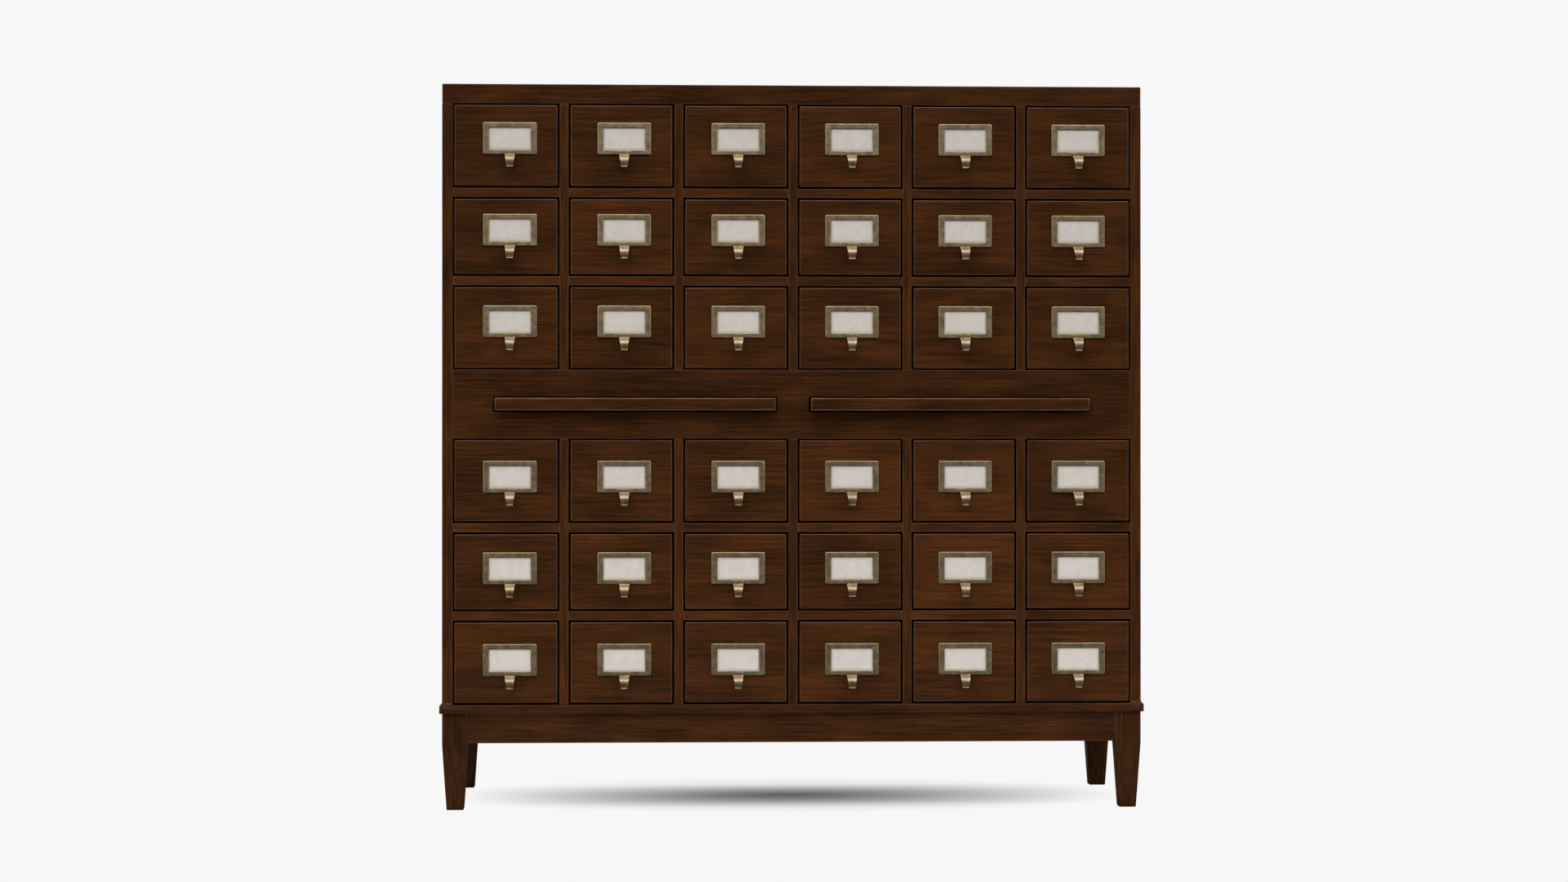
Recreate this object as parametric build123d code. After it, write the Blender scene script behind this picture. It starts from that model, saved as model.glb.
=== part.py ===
from build123d import *
import os

# Card catalog cabinet: six columns of six card drawers, two pull-out writing slides in
# a middle rail, a moulded base on four tapered legs.
# Millimetres, +Z up. X runs left to right as seen from the front, the front faces -Y.
# The origin is on the floor, under the middle of the whole cabinet's box.
# Shapes are laid out with Y measured back from the case's front plane, then shifted.

# Case
CASE_WIDTH = 1084.0
CASE_DEPTH = 373.0
CABINET_HEIGHT = 1121.5
TOP_THICKNESS = 30.6
TOP_EDGE_RADIUS = 1.5
SIDE_THICKNESS = 17.0
CASE_BOTTOM_Z = 149.5
CASE_FLOOR_Z = 162.8
BACK_THICKNESS = 6.0
BACK_LAP = 8.0
DIVIDER_THICKNESS = 14.3
SHELF_THICKNESS = 14.3
COLUMN_PITCH = 177.1
COLUMNS = 6
ROWS = 6

# Drawer openings: each half of the case has a tall, a short and a tall row
TALL_OPENING = 130.0
SHORT_OPENING = 121.9

# Middle rail and writing slides
RAIL_THICKNESS = 18.0
SLOT_INNER_X = 24.7
SLOT_OUTER_X = 463.4
SLOT_HEIGHT = 23.5
SLIDE_GAP = 2.0
SLIDE_PROUD = 16.0
SLIDE_LIPPING = 20.0
SLIDE_CORNER_RADIUS = 5.0
SLIDE_EDGE_RADIUS = 1.2
SLIDE_TRAVEL = 250.0
GUIDE_WIDTH = 20.0
GUIDE_CLEARANCE = 1.0
PEG_RADIUS = 5.0
PEG_LENGTH = 15.0
PEG_HEIGHT_ABOVE_SLIDE = 9.0
PEG_INSET = 60.0

# Drawers
FRONT_THICKNESS = 18.0
FRONT_PROUD = 1.5
FRONT_EDGE_RADIUS = 2.0
WIDE_GAP = 2.2
NARROW_GAP = 1.4
BOX_THICKNESS = 10.0
BOX_FLOOR_THICKNESS = 5.0
BOX_FLOOR_LIFT = 6.0
BOX_FOOT_GAP = 1.0
BOX_SIDE_DROP = 16.0
BOX_BACK_DROP = 3.0
REAR_CLEARANCE = 1.0
DRAWER_TRAVEL = 300.0
STOP_DEPTH = 12.0
STOP_HEIGHT = 8.0
STOP_WIDTH = 60.0
STOP_CLEARANCE = 1.0

# Label holder with its hook pull, cast in one piece
LABEL_PITCH_X = 176.24
LABEL_SHIFT_X = 3.1
LABEL_PITCH_Z = 141.4
LABEL_UPPER_Z = 895.8
LABEL_LOWER_Z = 373.3
HOLDER_WIDTH = 82.6
HOLDER_HEIGHT = 49.4
HOLDER_THICKNESS = 2.2
HOLDER_CORNER_RADIUS = 2.2
HOLDER_CHAMFER = 0.5
WINDOW_WIDTH = 64.4
WINDOW_HEIGHT = 34.6
WINDOW_RISE = 0.5
WINDOW_CORNER_RADIUS = 1.6
CARD_WIDTH = 71.0
CARD_HEIGHT = 40.0
CARD_THICKNESS = 0.4
CARD_SLOT_DEPTH = 0.7
CARD_SLOT_GAP = 0.5
HOOK_TAB_WIDTH = 19.6
HOOK_TAB_RISE = 5.2
HOOK_NECK_WIDTH = 16.7
HOOK_TIP_WIDTH = 9.6
HOOK_DROP = 19.6
HOOK_REACH = 11.4
HOOK_THICKNESS = 1.7
PULL_SCREW_RADIUS = 2.0
PULL_SCREW_HEAD_RADIUS = 4.0
PULL_SCREW_HEAD_HEIGHT = 2.4
PULL_SCREW_BITE = 1.0
PULL_SCREW_SPACING = 73.4

# Base
MOULDING_OVERHANG = 4.0
MOULDING_FACE_TOP_Z = 161.8
MOULDING_TOP_Z = 166.5
COVE_SAG = 0.15
LEG_WIDTH = 39.5
FOOT_WIDTH = 26.5
LEG_TAPER_Z = 101.6
APRON_BOTTOM_Z = 103.4
APRON_THICKNESS = 18.0
APRON_RECESS = 2.5
BLOCK_REACH = 90.0
BLOCK_BOTTOM_Z = 110.0
BLOCK_TOP_Z = 144.0
BOLT_RADIUS = 3.0
BOLT_HOLE_GAP = 0.2
BOLT_LENGTH = 44.0
BOLT_TAIL = 9.0
NUT_WIDTH = 10.0
NUT_HEIGHT = 5.0

# Back panel screws, countersunk
SCREW_RADIUS = 1.75
SCREW_HEAD_RADIUS = 3.4
SCREW_HEAD_HEIGHT = 2.0
SCREW_LENGTH = 22.0
SCREW_HOLE_GAP = 0.1
SCREWS_PER_SIDE = 5
SCREWS_PER_BOARD = 4
SCREW_END_MARGIN = 60.0

# Derived places
HALF_WIDTH = CASE_WIDTH / 2
INNER_HALF = HALF_WIDTH - SIDE_THICKNESS
BACK_Y = CASE_DEPTH - BACK_THICKNESS
UNDER_TOP_Z = CABINET_HEIGHT - TOP_THICKNESS
SECTION_HEIGHT = 2 * TALL_OPENING + SHORT_OPENING + 2 * SHELF_THICKNESS
RAIL_BOTTOM_Z = CASE_FLOOR_Z + SECTION_HEIGHT
RAIL_TOP_Z = UNDER_TOP_Z - SECTION_HEIGHT
RAIL_MIDDLE_Z = (RAIL_BOTTOM_Z + RAIL_TOP_Z) / 2
SLIDE_THICKNESS = SLOT_HEIGHT - 2 * SLIDE_GAP
FRONT_PLANE_Y = SLIDE_PROUD - (CASE_DEPTH + SLIDE_PROUD) / 2


def block(x0, x1, y0, y1, z0, z1):
    """A square-edged board between two corners."""
    middle = Pos((x0 + x1) / 2, (y0 + y1) / 2, (z0 + z1) / 2)
    return middle * Box(abs(x1 - x0), abs(y1 - y0), abs(z1 - z0))


def rod(radius, length, middle, direction):
    """A round bar centred on a point and lying along a direction."""
    return Plane(origin=middle, z_dir=direction) * Cylinder(radius, length)


def save(name, *pieces):
    """Write one node, each piece in it a separate solid."""
    solids = []
    for piece in pieces:
        moved = Pos(0, FRONT_PLANE_Y, 0) * piece
        solids.extend(moved.solids())
    export_step(Compound(solids), f"parts/{name}.step")


def column_openings():
    """The six openings between the uprights, left to right, as x0, x1, left gap, right gap."""
    half = DIVIDER_THICKNESS / 2
    openings = []
    for column in range(COLUMNS):
        left_line = (column - COLUMNS / 2) * COLUMN_PITCH
        at_left = column == 0
        at_right = column == COLUMNS - 1
        x0 = -INNER_HALF if at_left else left_line + half
        x1 = INNER_HALF if at_right else left_line + COLUMN_PITCH - half
        left_gap = NARROW_GAP if at_left else WIDE_GAP
        right_gap = NARROW_GAP if at_right else WIDE_GAP
        openings.append((x0, x1, left_gap, right_gap))
    return openings


def row_openings():
    """The six openings from the top down, as z0, z1, lower gap, upper gap."""
    rows = []
    for top, wide_ends in ((UNDER_TOP_Z, (False, False)), (RAIL_BOTTOM_Z, (False, True))):
        z1 = top
        for index, height in enumerate((TALL_OPENING, SHORT_OPENING, TALL_OPENING)):
            upper_gap = NARROW_GAP if index == 0 and not wide_ends[0] else WIDE_GAP
            lower_gap = NARROW_GAP if index == 2 and not wide_ends[1] else WIDE_GAP
            rows.append((z1 - height, z1, lower_gap, upper_gap))
            z1 -= height + SHELF_THICKNESS
    return rows


def label_centre(row, column):
    """Middle of the label holder on a drawer, rows counted from the top."""
    x = LABEL_SHIFT_X + (column - (COLUMNS - 1) / 2) * LABEL_PITCH_X
    middle_z = LABEL_UPPER_Z if row < ROWS / 2 else LABEL_LOWER_Z
    z = middle_z + (1 - row % 3) * LABEL_PITCH_Z
    return x, z


def screw_places():
    """Where the back panel's screws go in, as x, z."""
    places = []
    lap_x = INNER_HALF + BACK_LAP / 2
    low = CASE_BOTTOM_Z + SCREW_END_MARGIN
    high = UNDER_TOP_Z - SCREW_END_MARGIN
    for index in range(SCREWS_PER_SIDE):
        z = low + (high - low) * index / (SCREWS_PER_SIDE - 1)
        places.append((-lap_x, z))
        places.append((lap_x, z))
    reach = INNER_HALF - SCREW_END_MARGIN
    for index in range(SCREWS_PER_BOARD):
        x = reach * (2 * index / (SCREWS_PER_BOARD - 1) - 1)
        places.append((x, (CASE_BOTTOM_Z + CASE_FLOOR_Z) / 2))
        places.append((x, RAIL_TOP_Z - SHELF_THICKNESS / 2))
    return places


def countersunk_screw(x, z, gap=0.0):
    """A flat-head screw flush with the case's back, or its hole when given a gap."""
    head_middle = (x, CASE_DEPTH - SCREW_HEAD_HEIGHT / 2, z)
    head = Plane(origin=head_middle, z_dir=(0, 1, 0)) * Cone(
        SCREW_RADIUS + gap, SCREW_HEAD_RADIUS + gap, SCREW_HEAD_HEIGHT
    )
    length = SCREW_LENGTH + gap - SCREW_HEAD_HEIGHT / 2
    shank_middle = (x, CASE_DEPTH - SCREW_HEAD_HEIGHT / 2 - length / 2, z)
    return head + rod(SCREW_RADIUS + gap, length, shank_middle, (0, 1, 0))


def build_top_and_sides(screw_holes):
    """Top slab, side panels rebated for the back, bottom panel and back panel."""
    top = block(-HALF_WIDTH, HALF_WIDTH, 0, CASE_DEPTH, UNDER_TOP_Z, CABINET_HEIGHT)
    long_edges = top.edges().filter_by(Axis.X)
    short_edges = top.edges().filter_by(Axis.Y)
    top = fillet(long_edges + short_edges, TOP_EDGE_RADIUS)
    save("top_panel", top)

    for name, sign in (("left_side_panel", -1), ("right_side_panel", 1)):
        side = block(sign * INNER_HALF, sign * HALF_WIDTH, 0, CASE_DEPTH, CASE_BOTTOM_Z, UNDER_TOP_Z)
        rebate_edge = sign * (INNER_HALF + BACK_LAP)
        side -= block(sign * INNER_HALF, rebate_edge, BACK_Y, CASE_DEPTH, CASE_BOTTOM_Z, UNDER_TOP_Z)
        side -= screw_holes
        save(name, side)

    floor = block(-INNER_HALF, INNER_HALF, 0, BACK_Y, CASE_BOTTOM_Z, CASE_FLOOR_Z)
    save("bottom_panel", floor - screw_holes)

    lap_half = INNER_HALF + BACK_LAP
    back = block(-lap_half, lap_half, BACK_Y, CASE_DEPTH, CASE_BOTTOM_Z, UNDER_TOP_Z)
    save("back_panel", back - screw_holes)


def build_dividers_and_shelves():
    """Uprights between the columns, shelves between the rows."""
    half = DIVIDER_THICKNESS / 2
    dividers = []
    for column in range(1, COLUMNS):
        x = (column - COLUMNS / 2) * COLUMN_PITCH
        dividers.append(block(x - half, x + half, 0, BACK_Y, CASE_FLOOR_Z, RAIL_BOTTOM_Z))
        dividers.append(block(x - half, x + half, 0, BACK_Y, RAIL_TOP_Z, UNDER_TOP_Z))
    save("column_dividers", *dividers)

    shelves = []
    rows_with_shelf_below = [row for index, row in enumerate(row_openings()) if index % 3 != 2]
    for x0, x1, _, _ in column_openings():
        for z0, _, _, _ in rows_with_shelf_below:
            shelves.append(block(x0, x1, 0, BACK_Y, z0 - SHELF_THICKNESS, z0))
    save("drawer_shelves", *shelves)


def build_drawer_stops():
    """A cleat under the board above each drawer, met by the drawer's raised back."""
    box_back_y = BACK_Y - REAR_CLEARANCE - BOX_THICKNESS
    stop_back_y = box_back_y - DRAWER_TRAVEL - STOP_CLEARANCE
    stops = []
    for x0, x1, _, _ in column_openings():
        middle = (x0 + x1) / 2
        for _, z1, _, _ in row_openings():
            left = middle - STOP_WIDTH / 2
            stops.append(
                block(left, left + STOP_WIDTH, stop_back_y - STOP_DEPTH, stop_back_y, z1 - STOP_HEIGHT, z1)
            )
    save("drawer_stops", *stops)


def build_middle_band(screw_holes):
    """Slotted middle rail, the decks behind it and the guides that carry the writing slides."""
    slot_low = RAIL_MIDDLE_Z - SLOT_HEIGHT / 2
    slot_high = RAIL_MIDDLE_Z + SLOT_HEIGHT / 2
    rail = block(-INNER_HALF, INNER_HALF, 0, RAIL_THICKNESS, RAIL_BOTTOM_Z, RAIL_TOP_Z)
    for sign in (-1, 1):
        rail -= block(sign * SLOT_INNER_X, sign * SLOT_OUTER_X, 0, RAIL_THICKNESS, slot_low, slot_high)
    save("middle_rail", rail)

    lower_top = RAIL_BOTTOM_Z + SHELF_THICKNESS
    upper_bottom = RAIL_TOP_Z - SHELF_THICKNESS
    lower = block(-INNER_HALF, INNER_HALF, RAIL_THICKNESS, BACK_Y, RAIL_BOTTOM_Z, lower_top)
    upper = block(-INNER_HALF, INNER_HALF, RAIL_THICKNESS, BACK_Y, upper_bottom, RAIL_TOP_Z)
    save("middle_decks", lower, upper - screw_holes)

    slide_bottom = RAIL_MIDDLE_Z - SLIDE_THICKNESS / 2 - GUIDE_CLEARANCE
    slide_top = RAIL_MIDDLE_Z + SLIDE_THICKNESS / 2 + GUIDE_CLEARANCE
    guides = [
        block(-SLOT_INNER_X, SLOT_INNER_X, RAIL_THICKNESS, BACK_Y, lower_top, upper_bottom),
    ]
    for sign in (-1, 1):
        guides.append(
            block(sign * SLOT_OUTER_X, sign * INNER_HALF, RAIL_THICKNESS, BACK_Y, lower_top, upper_bottom)
        )
        for edge in (SLOT_INNER_X, SLOT_OUTER_X - GUIDE_WIDTH):
            x0 = sign * edge
            x1 = sign * (edge + GUIDE_WIDTH)
            guides.append(block(x0, x1, RAIL_THICKNESS, BACK_Y, lower_top, slide_bottom))
            guides.append(block(x0, x1, RAIL_THICKNESS, BACK_Y, slide_top, upper_bottom))
    save("slide_guides", *guides)


def build_writing_slide(name, sign):
    """A pull-out board with a rounded front lipping and two stop pegs near its back."""
    x0 = sign * (SLOT_INNER_X + SLIDE_GAP)
    x1 = sign * (SLOT_OUTER_X - SLIDE_GAP)
    z0 = RAIL_MIDDLE_Z - SLIDE_THICKNESS / 2
    z1 = RAIL_MIDDLE_Z + SLIDE_THICKNESS / 2
    lipping_back_y = SLIDE_LIPPING - SLIDE_PROUD
    board = block(x0, x1, lipping_back_y, BACK_Y - REAR_CLEARANCE, z0, z1)
    lipping = block(x0, x1, -SLIDE_PROUD, lipping_back_y, z0, z1)
    corners = lipping.edges().filter_by(Axis.Z).group_by(Axis.Y)[0]
    lipping = fillet(corners, SLIDE_CORNER_RADIUS)
    front_edges = lipping.faces().sort_by(Axis.Y)[0].edges().filter_by(Axis.X)
    lipping = fillet(front_edges, SLIDE_EDGE_RADIUS)

    peg_y = RAIL_THICKNESS + SLIDE_TRAVEL + PEG_RADIUS + STOP_CLEARANCE
    peg_z = z1 + PEG_HEIGHT_ABOVE_SLIDE - PEG_LENGTH / 2
    pegs = []
    for peg_x in (x0 + sign * PEG_INSET, x1 - sign * PEG_INSET):
        peg = rod(PEG_RADIUS, PEG_LENGTH, (peg_x, peg_y, peg_z), (0, 0, 1))
        board -= peg
        pegs.append(peg)
    save(name, board, lipping, *pegs)


def hook_side_shape():
    """The bent hook strip, full width: out from the plate, down, and a lip at the tip.

    The plate's front face is y = 0 and the plate's lower edge is z = 0.
    """
    outer = [
        (0.0, HOOK_TAB_RISE),
        (-1.2, HOOK_TAB_RISE - 0.6),
        (-1.8, HOOK_TAB_RISE - 2.6),
        (-0.62 * HOOK_REACH, -1.6),
        (-HOOK_REACH, -0.42 * HOOK_DROP),
        (-0.93 * HOOK_REACH, -0.68 * HOOK_DROP),
        (-0.80 * HOOK_REACH, -0.87 * HOOK_DROP),
        (-0.92 * HOOK_REACH, -HOOK_DROP),
    ]
    inner = [
        (-0.92 * HOOK_REACH + 0.8 * HOOK_THICKNESS, -HOOK_DROP),
        (-0.80 * HOOK_REACH + HOOK_THICKNESS, -0.86 * HOOK_DROP),
        (-0.93 * HOOK_REACH + HOOK_THICKNESS, -0.66 * HOOK_DROP),
        (-HOOK_REACH + HOOK_THICKNESS, -0.42 * HOOK_DROP),
        (-0.52 * HOOK_REACH + 0.5, -2.6),
        (0.0, 0.4),
    ]
    tip = Line(outer[-1], inner[0])
    root = Line(inner[-1], outer[0])
    strip = Plane.YZ * make_face([Spline(*outer), tip, Spline(*inner), root])
    return extrude(strip, amount=HOOK_TAB_WIDTH / 2, both=True)


def hook_front_outline():
    """The hook seen from the front: a square tab, then a tongue that narrows to the tip."""
    half_tab = HOOK_TAB_WIDTH / 2
    half_neck = HOOK_NECK_WIDTH / 2
    half_tip = HOOK_TIP_WIDTH / 2
    right = [
        (half_tab, HOOK_TAB_RISE + 1),
        (half_tab, HOOK_TAB_RISE - 2.4),
        (half_neck, HOOK_TAB_RISE - 4.4),
        (half_neck - 0.6, -0.15 * HOOK_DROP),
        (half_tip + 0.7, -0.86 * HOOK_DROP),
        (half_tip, -HOOK_DROP - 1),
    ]
    left = [(-x, z) for x, z in reversed(right)]
    outline = Plane.XZ * make_face(Polyline(*right, *left, close=True))
    return extrude(outline, amount=HOOK_REACH + 2, both=True)


def build_label_pull():
    """Label holder and hook in one casting, its middle at the origin and its back at y = 0."""
    plate = Plane.XZ * RectangleRounded(HOLDER_WIDTH, HOLDER_HEIGHT, HOLDER_CORNER_RADIUS)
    plate = extrude(plate, amount=HOLDER_THICKNESS)
    rim = plate.faces().sort_by(Axis.Y)[0].edges()
    plate = chamfer(rim, HOLDER_CHAMFER)
    hook = hook_side_shape() & hook_front_outline()
    plate += Pos(0, -HOLDER_THICKNESS, -HOLDER_HEIGHT / 2) * hook
    window = Plane.XZ * RectangleRounded(WINDOW_WIDTH, WINDOW_HEIGHT, WINDOW_CORNER_RADIUS)
    plate -= Pos(0, 0, -WINDOW_RISE) * extrude(window, amount=HOLDER_THICKNESS)
    slot_half = CARD_WIDTH / 2 + CARD_SLOT_GAP
    slot_bottom = -CARD_HEIGHT / 2 - CARD_SLOT_GAP
    plate -= block(-slot_half, slot_half, -CARD_SLOT_DEPTH, 0, slot_bottom, HOLDER_HEIGHT / 2)
    return plate


def pull_screws(x, z):
    """Two screws through the drawer front from inside, into the holder's side bars."""
    inside_y = FRONT_THICKNESS - FRONT_PROUD
    tip_y = -FRONT_PROUD - PULL_SCREW_BITE
    screws = []
    for sign in (-1, 1):
        screw_x = x + sign * PULL_SCREW_SPACING / 2
        shank = rod(PULL_SCREW_RADIUS, inside_y - tip_y, (screw_x, (inside_y + tip_y) / 2, z), (0, 1, 0))
        head_y = inside_y + PULL_SCREW_HEAD_HEIGHT / 2
        head = rod(PULL_SCREW_HEAD_RADIUS, PULL_SCREW_HEAD_HEIGHT, (screw_x, head_y, z), (0, 1, 0))
        screws.append(shank + head)
    return screws


def build_drawer(row, column, label_pull):
    """Front with eased edges, a four-board box behind it, label holder, card and screws."""
    left, right, left_gap, right_gap = column_openings()[column]
    bottom, top, lower_gap, upper_gap = row_openings()[row]
    x0 = left + left_gap
    x1 = right - right_gap
    box_front_y = FRONT_THICKNESS - FRONT_PROUD
    box_back_y = BACK_Y - REAR_CLEARANCE
    label_x, label_z = label_centre(row, column)

    front = block(x0, x1, -FRONT_PROUD, box_front_y, bottom + lower_gap, top - upper_gap)
    front_edges = front.faces().sort_by(Axis.Y)[0].edges()
    front = fillet(front_edges, FRONT_EDGE_RADIUS)

    foot_z = bottom + BOX_FOOT_GAP
    side_top = top - BOX_SIDE_DROP
    left_side = block(x0, x0 + BOX_THICKNESS, box_front_y, box_back_y, foot_z, side_top)
    right_side = block(x1 - BOX_THICKNESS, x1, box_front_y, box_back_y, foot_z, side_top)
    inner_x0 = x0 + BOX_THICKNESS
    inner_x1 = x1 - BOX_THICKNESS
    inner_back_y = box_back_y - BOX_THICKNESS
    back = block(inner_x0, inner_x1, inner_back_y, box_back_y, foot_z, top - BOX_BACK_DROP)
    floor_z = bottom + BOX_FLOOR_LIFT
    floor = block(inner_x0, inner_x1, box_front_y, inner_back_y, floor_z, floor_z + BOX_FLOOR_THICKNESS)

    screws = pull_screws(label_x, label_z)
    holder = Pos(label_x, -FRONT_PROUD, label_z) * label_pull
    for screw in screws:
        front -= screw
        holder -= screw
    half_card = CARD_WIDTH / 2
    card = block(
        label_x - half_card,
        label_x + half_card,
        -FRONT_PROUD - CARD_THICKNESS,
        -FRONT_PROUD,
        label_z - CARD_HEIGHT / 2,
        label_z + CARD_HEIGHT / 2,
    )
    name = f"drawer_r{row + 1}_c{column + 1}"
    save(name, front, left_side, right_side, back, floor, holder, card, *screws)


def moulding_profile():
    """Section of the base moulding, its back at 0 and its face at the overhang."""
    cove_height = MOULDING_TOP_Z - MOULDING_FACE_TOP_Z
    sag = COVE_SAG * MOULDING_OVERHANG
    face_top = (MOULDING_OVERHANG, MOULDING_FACE_TOP_Z)
    cove_middle = (MOULDING_OVERHANG / 2 - sag, MOULDING_FACE_TOP_Z + cove_height / 2 - sag)
    cove_top = (0.0, MOULDING_TOP_Z)
    back_bottom = (0.0, CASE_BOTTOM_Z)
    face_bottom = (MOULDING_OVERHANG, CASE_BOTTOM_Z)
    underside = Line(back_bottom, face_bottom)
    face = Line(face_bottom, face_top)
    cove = ThreePointArc(face_top, cove_middle, cove_top)
    back = Line(cove_top, back_bottom)
    return make_face([underside, face, cove, back])


def build_moulding():
    """Coved moulding on the front and both sides, mitred at the front corners."""
    outer = HALF_WIDTH + MOULDING_OVERHANG
    front_plane = Plane(origin=(outer, 0, 0), x_dir=(0, -1, 0), z_dir=(-1, 0, 0))
    front = extrude(front_plane * moulding_profile(), amount=2 * outer)
    reach = 3 * MOULDING_OVERHANG
    pieces = []
    for sign in (-1, 1):
        side_plane = Plane(origin=(sign * HALF_WIDTH, CASE_DEPTH, 0), x_dir=(sign, 0, 0), z_dir=(0, -sign, 0))
        length = CASE_DEPTH + MOULDING_OVERHANG
        side = extrude(side_plane * moulding_profile(), amount=sign * length)
        mitre_inside = (sign * (HALF_WIDTH - reach), reach)
        mitre_outside = (sign * (HALF_WIDTH + reach), -reach)
        before_mitre = (sign * (HALF_WIDTH - reach), -reach)
        beyond_mitre = (sign * (HALF_WIDTH + reach), reach)
        before = make_face(Polyline(mitre_inside, mitre_outside, before_mitre, close=True))
        beyond = make_face(Polyline(mitre_inside, mitre_outside, beyond_mitre, close=True))
        pieces.append(side - extrude(before, amount=CABINET_HEIGHT))
        front -= extrude(beyond, amount=CABINET_HEIGHT)
    drawer_run = block(
        -INNER_HALF, INNER_HALF, -reach, reach, CASE_FLOOR_Z, MOULDING_TOP_Z + MOULDING_OVERHANG
    )
    save("base_moulding", front - drawer_run, *pieces)


def build_legs():
    """Four square legs that taper on every face below the apron."""
    bolts = []
    blocks = []
    nuts = []
    inner_face = APRON_RECESS + APRON_THICKNESS
    corners = (
        ("front_left_leg", -1, 0),
        ("front_right_leg", 1, 0),
        ("rear_left_leg", -1, 1),
        ("rear_right_leg", 1, 1),
    )
    for name, sign, at_back in corners:
        corner_x = sign * HALF_WIDTH
        corner_y = CASE_DEPTH if at_back else 0.0
        inward_x = -sign
        inward_y = -1 if at_back else 1
        middle_x = corner_x + inward_x * LEG_WIDTH / 2
        middle_y = corner_y + inward_y * LEG_WIDTH / 2
        foot = Pos(middle_x, middle_y, 0) * Rectangle(FOOT_WIDTH, FOOT_WIDTH)
        knee = Pos(middle_x, middle_y, LEG_TAPER_Z) * Rectangle(LEG_WIDTH, LEG_WIDTH)
        leg = loft([foot.face(), knee.face()])
        leg += extrude(knee, amount=CASE_BOTTOM_Z - LEG_TAPER_Z)

        direction = Vector(inward_x, inward_y, 0).normalized()
        bolt_z = (BLOCK_BOTTOM_Z + BLOCK_TOP_Z) / 2
        face_reach = (BLOCK_REACH + inner_face) / 2
        face_point = Vector(corner_x + inward_x * face_reach, corner_y + inward_y * face_reach, bolt_z)
        bolt_middle = face_point + direction * (BOLT_TAIL - BOLT_LENGTH / 2)
        bolt = rod(BOLT_RADIUS, BOLT_LENGTH, bolt_middle, direction)
        hole = rod(BOLT_RADIUS + BOLT_HOLE_GAP, BOLT_LENGTH + 2 * BOLT_HOLE_GAP, bolt_middle, direction)
        nut_plane = Plane(origin=face_point, z_dir=direction)
        nut = extrude(nut_plane * RegularPolygon(NUT_WIDTH / 2, 6, major_radius=False), amount=NUT_HEIGHT)
        nut -= hole
        bolts.append(bolt)
        nuts.append(nut)
        save(name, leg - hole)

        outline = []
        for along_x, along_y in (
            (LEG_WIDTH, inner_face),
            (BLOCK_REACH, inner_face),
            (inner_face, BLOCK_REACH),
            (inner_face, LEG_WIDTH),
            (LEG_WIDTH, LEG_WIDTH),
        ):
            outline.append((corner_x + inward_x * along_x, corner_y + inward_y * along_y, BLOCK_BOTTOM_Z))
        corner_block = extrude(
            make_face(Polyline(*outline, close=True)), amount=BLOCK_TOP_Z - BLOCK_BOTTOM_Z, dir=(0, 0, 1)
        )
        blocks.append(corner_block - hole)
    save("corner_blocks", *blocks)
    save("leg_bolts", *bolts, *nuts)


def build_aprons():
    """Rails between the legs, set back a little from the legs' faces."""
    inner_x = HALF_WIDTH - LEG_WIDTH
    near = APRON_RECESS
    far = APRON_RECESS + APRON_THICKNESS
    front = block(-inner_x, inner_x, near, far, APRON_BOTTOM_Z, CASE_BOTTOM_Z)
    rear = block(-inner_x, inner_x, CASE_DEPTH - far, CASE_DEPTH - near, APRON_BOTTOM_Z, CASE_BOTTOM_Z)
    save("front_apron", front)
    save("rear_apron", rear)
    sides = []
    for sign in (-1, 1):
        sides.append(
            block(
                sign * (HALF_WIDTH - near),
                sign * (HALF_WIDTH - far),
                LEG_WIDTH,
                CASE_DEPTH - LEG_WIDTH,
                APRON_BOTTOM_Z,
                CASE_BOTTOM_Z,
            )
        )
    save("side_aprons", *sides)


def main():
    os.makedirs("parts", exist_ok=True)
    screws = [countersunk_screw(x, z) for x, z in screw_places()]
    screw_holes = [countersunk_screw(x, z, SCREW_HOLE_GAP) for x, z in screw_places()]
    save("back_panel_screws", *screws)
    build_top_and_sides(screw_holes)
    build_dividers_and_shelves()
    build_drawer_stops()
    build_middle_band(screw_holes)
    build_writing_slide("writing_slide_left", -1)
    build_writing_slide("writing_slide_right", 1)
    label_pull = build_label_pull()
    for row in range(ROWS):
        for column in range(COLUMNS):
            build_drawer(row, column, label_pull)
    build_moulding()
    build_legs()
    build_aprons()


main()
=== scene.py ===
import itertools
import math

import bmesh
import bpy
import numpy as np
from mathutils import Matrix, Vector


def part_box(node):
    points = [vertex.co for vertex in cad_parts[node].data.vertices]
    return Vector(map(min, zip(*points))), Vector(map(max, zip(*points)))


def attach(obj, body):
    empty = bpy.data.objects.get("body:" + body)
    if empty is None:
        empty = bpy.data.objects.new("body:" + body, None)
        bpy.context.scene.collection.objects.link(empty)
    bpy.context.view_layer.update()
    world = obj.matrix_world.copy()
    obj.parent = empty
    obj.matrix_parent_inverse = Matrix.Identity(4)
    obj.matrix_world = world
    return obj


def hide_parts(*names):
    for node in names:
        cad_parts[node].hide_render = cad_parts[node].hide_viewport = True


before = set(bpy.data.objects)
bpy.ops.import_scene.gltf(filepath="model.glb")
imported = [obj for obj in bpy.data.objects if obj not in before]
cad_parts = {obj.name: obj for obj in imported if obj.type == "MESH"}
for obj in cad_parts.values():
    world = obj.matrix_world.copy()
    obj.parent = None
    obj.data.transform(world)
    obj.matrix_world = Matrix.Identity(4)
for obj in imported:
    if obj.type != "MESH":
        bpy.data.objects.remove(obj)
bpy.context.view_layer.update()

MM = 0.001
ROOT = "cabinet"
ROWS = 6
COLUMNS = 6
SLIDES = ("writing_slide_left", "writing_slide_right")
LEGS = ("front_left_leg", "front_right_leg", "rear_left_leg", "rear_right_leg")
X_AXIS, Y_AXIS, Z_AXIS = 0, 1, 2
chance = np.random.default_rng(11)

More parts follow.
